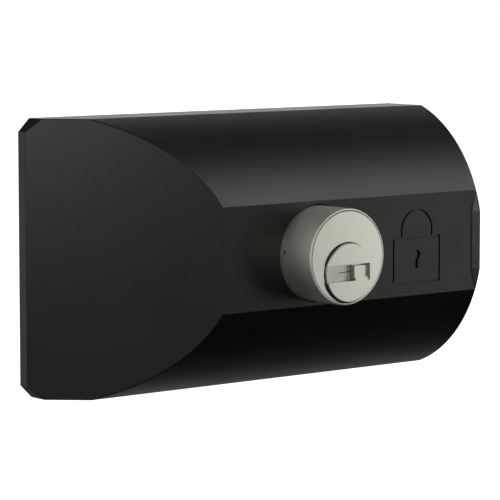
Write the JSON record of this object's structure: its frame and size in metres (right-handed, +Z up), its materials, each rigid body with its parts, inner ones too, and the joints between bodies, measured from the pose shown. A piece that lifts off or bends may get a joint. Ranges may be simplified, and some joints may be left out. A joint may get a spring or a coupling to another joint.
{
  "type": "surface-mounted deadbolt lock",
  "caption": "Surface-mounted deadbolt lock with a bevelled half-round steel case, a front key cylinder and a bolt driven from its end by a rack and pinion.",
  "frame": {"origin": "middle of the back face, which is also the middle of the four fixing holes", "axes": "+X along the case towards the end where the bolt comes out, +Y into the door, +Z up"},
  "size_m": [0.14, 0.0549, 0.08],
  "materials": {
    "black_coat": "fine-grained satin black coating",
    "end_coat": "satin black coating, duller on the inner side of the lip",
    "collar_nickel": "matt satin nickel",
    "satin_nickel": "satin nickel",
    "bolt_steel": "ground hardened steel",
    "bright_steel": "bright steel",
    "zinc_steel": "zinc-plated steel",
    "black_screw": "black oxide",
    "brass": "machined brass",
    "seal_rubber": "matt foam rubber"
  },
  "bodies": {
    "case": {"housing": "black_coat", "end_plate": "end_coat", "end_plate_screws": "black_screw", "back_plate": "zinc_steel", "back_plate_screws": "zinc_steel", "back_seal": "seal_rubber", "cylinder_collar": "collar_nickel", "collar_pin": "black_screw", "cylinder_shell": "satin_nickel", "chamber_cap": "brass", "anti_drill_pins": "zinc_steel", "driver_pins": "brass", "pin_springs": "bright_steel", "cylinder_clamp": "zinc_steel", "cylinder_screws": "zinc_steel", "upper_guide": "brass", "lower_guide": "brass", "guide_bridge": "zinc_steel", "guide_screws": "zinc_steel"},
    "key_plug": {"plug": "satin_nickel", "key_leaf": "satin_nickel", "plug_clip": "zinc_steel", "key_pins": "brass", "drive_pinion": "bright_steel", "pinion_screw": "zinc_steel"},
    "bolt": {"deadbolt": "bolt_steel", "anti_saw_rollers": "bolt_steel", "bolt_stop_pin": "bolt_steel"}
  },
  "joints": [
    {"name": "plug_turn", "type": "hinge", "parent": "case", "child": "key_plug", "pos_m": [0.0066, -0.03, -0.0045], "axis": [0, 1, 0], "range_deg": [0, 180]},
    {"name": "bolt_throw", "type": "slide", "parent": "case", "child": "bolt", "axis": [1, 0, 0], "range_m": [0, 0.01885]}
  ],
  "couplings": [
    {"joint": "plug_turn", "follows": "bolt_throw", "rad_per_m": 166.67}
  ]
}
